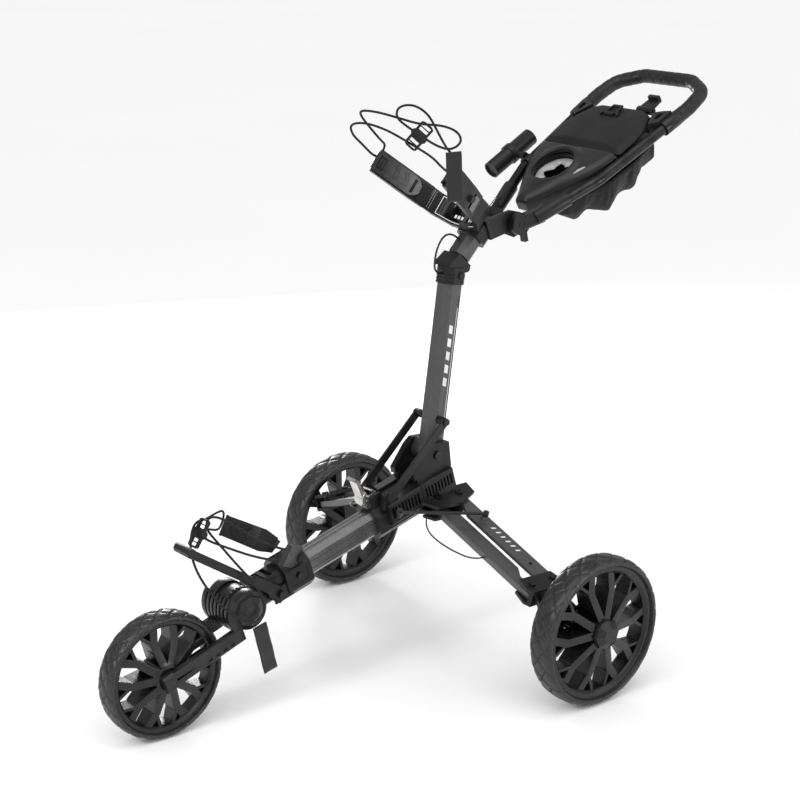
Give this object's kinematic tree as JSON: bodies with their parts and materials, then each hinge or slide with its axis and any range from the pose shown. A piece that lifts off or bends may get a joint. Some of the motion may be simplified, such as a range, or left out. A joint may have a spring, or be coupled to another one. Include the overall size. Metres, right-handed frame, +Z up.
{
  "type": "golf push trolley",
  "caption": "Folding three-wheeled golf push trolley with bag cradles, a console with cup and umbrella holders, and a loop handle.",
  "frame": {"origin": "on the ground, under the middle of the trolley's length and width", "axes": "+Z up, +Y towards the handle and the user, +X to the trolley's left as it is pushed; the front wheel is towards -Y"},
  "size_m": [0.8682, 1.405, 1.1133],
  "materials": {
    "anodised_grey": "satin dark grey anodised",
    "grey_paint": "satin charcoal powder coat",
    "black_plastic": "fine grained moulding",
    "grey_plastic": "fine grained moulding, faint weave",
    "rim_plastic": "moulded, slight sheen",
    "foam_tyre": "solid foam tyre, diamond tread",
    "grip_rubber": "soft grip, banded",
    "bright_metal": "bright cast",
    "steel": "blackened fasteners",
    "light_grey_rubber": "light grey, soft",
    "mesh_fabric": "open mesh",
    "elastic": "braided elastic",
    "webbing": "woven webbing",
    "cable_jacket": "cable jacket"
  },
  "bodies": {
    "frame": {"main_beam": "anodised_grey", "hub_core": "black_plastic", "hub_plates": "black_plastic", "frame_fasteners": "steel", "fold_housing": "black_plastic", "lower_bracket": "black_plastic", "bracket_arms": "black_plastic", "lower_cord": "elastic", "lower_buckle": "black_plastic", "lower_tab": "webbing", "brake_cables": "cable_jacket"},
    "fork": {"fork_arms": "grey_plastic", "fork_yoke": "grey_plastic", "fork_pins": "steel"},
    "front_wheel": {"front_rim": "rim_plastic", "front_tyre": "foam_tyre"},
    "base_rest": {"base_rest": "black_plastic"},
    "collar": {"slide_collar": "black_plastic"},
    "clamp": {"clamp_lever": "bright_metal"},
    "links": {"folding_links": "grey_paint"},
    "upright": {"upright_tube": "anodised_grey", "elbow_lower": "black_plastic", "upright_pins": "steel", "elbow_cable": "cable_jacket"},
    "neck": {"elbow_upper": "black_plastic", "neck_tube": "anodised_grey", "cradle_base": "black_plastic", "cradle_arms": "grey_plastic", "upper_cord": "elastic", "upper_buckle": "black_plastic", "upper_tab": "webbing"},
    "elbow_button": {"elbow_button": "grey_plastic"},
    "handle": {"handle_sockets": "grey_plastic", "handle_tube": "grey_paint", "grip_sleeve": "grip_rubber", "console_base": "black_plastic", "cup_liner": "light_grey_rubber", "storage_bag": "mesh_fabric", "umbrella_clamp": "black_plastic"},
    "lid": {"console_lid": "grey_plastic"},
    "lid_latch": {"lid_latch": "black_plastic"},
    "brake_lever": {"brake_lever": "black_plastic"},
    "umbrella_holder": {"umbrella_tube": "grey_plastic"},
    "leg_left": {"leg_tube_left": "anodised_grey"},
    "bar_left": {"leg_bar_left": "anodised_grey"},
    "carrier_left": {"wheel_carrier_left": "black_plastic"},
    "pawl_left": {"brake_pawl_left": "steel"},
    "rear_wheel_left": {"rear_rim_left": "rim_plastic", "rear_tyre_left": "foam_tyre", "brake_ring_left": "black_plastic"},
    "rod_left": {"spreader_rod_left": "grey_paint"},
    "leg_right": {"leg_tube_right": "anodised_grey"},
    "bar_right": {"leg_bar_right": "anodised_grey"},
    "carrier_right": {"wheel_carrier_right": "black_plastic"},
    "pawl_right": {"brake_pawl_right": "steel"},
    "rear_wheel_right": {"rear_rim_right": "rim_plastic", "rear_tyre_right": "foam_tyre", "brake_ring_right": "black_plastic"},
    "rod_right": {"spreader_rod_right": "grey_paint"}
  },
  "joints": [
    {"name": "main_fold", "type": "hinge", "parent": "frame", "child": "upright", "pos_m": [0, 0.0383, 0.418], "axis": [1, 0, 0], "range_deg": [0, 78], "deforming": ["brake_cables"]},
    {"name": "collar_slide", "type": "slide", "parent": "frame", "child": "collar", "axis": [0, -0.9627, -0.2706], "range_m": [0, 0.0925]},
    {"name": "clamp_open", "type": "hinge", "parent": "collar", "child": "clamp", "pos_m": [0, -0.1104, 0.35365], "axis": [1, 0, 0], "range_deg": [0, 60]},
    {"name": "link_turn", "type": "hinge", "parent": "upright", "child": "links", "pos_m": [0, 0.0523, 0.485], "axis": [1, 0, 0], "range_deg": [-84, 0]},
    {"name": "fork_fold", "type": "hinge", "parent": "frame", "child": "fork", "pos_m": [0, -0.41498, 0.21402], "axis": [1, 0, 0], "range_deg": [0, 92]},
    {"name": "front_wheel_spin", "type": "hinge", "parent": "fork", "child": "front_wheel", "pos_m": [0, -0.5817, 0.12065], "axis": [1, 0, 0], "continuous": true},
    {"name": "base_rest_angle", "type": "hinge", "parent": "frame", "child": "base_rest", "pos_m": [0.037, -0.3427, 0.227], "axis": [1, 0, 0], "range_deg": [-4, 5]},
    {"name": "elbow_fold", "type": "hinge", "parent": "upright", "child": "neck", "pos_m": [0, 0.1213, 0.778], "axis": [1, 0, 0], "range_deg": [-90, 0], "deforming": ["elbow_cable"]},
    {"name": "button_press", "type": "slide", "parent": "upright", "child": "elbow_button", "axis": [-1, 0, 0], "range_m": [0, 0.0035], "stiffness_N_per_m": 300},
    {"name": "handle_angle", "type": "hinge", "parent": "neck", "child": "handle", "pos_m": [0, 0.2373, 0.854], "axis": [1, 0, 0], "range_deg": [-15, 20]},
    {"name": "lid_open", "type": "hinge", "parent": "handle", "child": "lid", "pos_m": [0, 0.43547, 0.97708], "axis": [1, 0, 0], "range_deg": [0, 75]},
    {"name": "latch_open", "type": "hinge", "parent": "lid", "child": "lid_latch", "pos_m": [0, 0.51964, 1.03974], "axis": [1, 0, 0], "range_deg": [0, 90]},
    {"name": "brake_lever_turn", "type": "hinge", "parent": "handle", "child": "brake_lever", "pos_m": [0.052, 0.57035, 1.04727], "axis": [1, 0, 0], "range_deg": [0, 30]},
    {"name": "umbrella_tilt", "type": "hinge", "parent": "handle", "child": "umbrella_holder", "pos_m": [-0.157, 0.39378, 0.95225], "axis": [1, 0, 0], "range_deg": [0, 60]},
    {"name": "leg_swing_left", "type": "hinge", "parent": "frame", "child": "leg_left", "pos_m": [0.045, 0.0293, 0.32025], "axis": [0.3289, 0, 0.9444], "range_deg": [-60.1, 0]},
    {"name": "bar_swing_left", "type": "hinge", "parent": "frame", "child": "bar_left", "pos_m": [0.045, 0.0823, 0.32025], "axis": [0.3289, 0, 0.9444], "range_deg": [-60.1, 0]},
    {"name": "carrier_turn_left", "type": "hinge", "parent": "leg_left", "child": "carrier_left", "pos_m": [0.31793, 0.0293, 0.22521], "axis": [0.3289, 0, 0.9444], "range_deg": [0, 60.1]},
    {"name": "pawl_slide_left", "type": "slide", "parent": "carrier_left", "child": "pawl_left", "axis": [0, 1, 0], "range_m": [0, 0.0081]},
    {"name": "rear_wheel_spin_left", "type": "hinge", "parent": "carrier_left", "child": "rear_wheel_left", "pos_m": [0.39, 0.1293, 0.146], "axis": [1, 0, 0], "continuous": true},
    {"name": "rod_turn_left", "type": "hinge", "parent": "collar", "child": "rod_left", "pos_m": [0.056, -0.0717, 0.331], "axis": [0.6308, -0.2307, 0.7409], "range_deg": [0, 19.2]},
    {"name": "leg_swing_right", "type": "hinge", "parent": "frame", "child": "leg_right", "pos_m": [-0.045, 0.0293, 0.32025], "axis": [0.3289, 0, -0.9444], "range_deg": [-60.1, 0]},
    {"name": "bar_swing_right", "type": "hinge", "parent": "frame", "child": "bar_right", "pos_m": [-0.045, 0.0823, 0.32025], "axis": [0.3289, 0, -0.9444], "range_deg": [-60.1, 0]},
    {"name": "carrier_turn_right", "type": "hinge", "parent": "leg_right", "child": "carrier_right", "pos_m": [-0.31793, 0.0293, 0.22521], "axis": [0.3289, 0, -0.9444], "range_deg": [0, 60.1]},
    {"name": "pawl_slide_right", "type": "slide", "parent": "carrier_right", "child": "pawl_right", "axis": [0, 1, 0], "range_m": [0, 0.0081]},
    {"name": "rear_wheel_spin_right", "type": "hinge", "parent": "carrier_right", "child": "rear_wheel_right", "pos_m": [-0.39, 0.1293, 0.146], "axis": [1, 0, 0], "continuous": true},
    {"name": "rod_turn_right", "type": "hinge", "parent": "collar", "child": "rod_right", "pos_m": [-0.056, -0.0717, 0.331], "axis": [0.6308, 0.2307, -0.7409], "range_deg": [0, 19.2]}
  ],
  "couplings": [
    {"joint": "collar_slide", "follows": "main_fold", "m_per_rad": 0.0678},
    {"joint": "link_turn", "follows": "main_fold", "ratio": -1.0744},
    {"joint": "leg_swing_left", "follows": "main_fold", "ratio": -0.76923},
    {"joint": "bar_swing_left", "follows": "main_fold", "ratio": -0.76923},
    {"joint": "carrier_turn_left", "follows": "main_fold", "ratio": 0.76923},
    {"joint": "rod_turn_left", "follows": "main_fold", "ratio": 0.24487},
    {"joint": "pawl_slide_left", "follows": "brake_lever_turn", "m_per_rad": 0.015279},
    {"joint": "leg_swing_right", "follows": "main_fold", "ratio": -0.76923},
    {"joint": "bar_swing_right", "follows": "main_fold", "ratio": -0.76923},
    {"joint": "carrier_turn_right", "follows": "main_fold", "ratio": 0.76923},
    {"joint": "rod_turn_right", "follows": "main_fold", "ratio": 0.24487},
    {"joint": "pawl_slide_right", "follows": "brake_lever_turn", "m_per_rad": 0.015279}
  ]
}
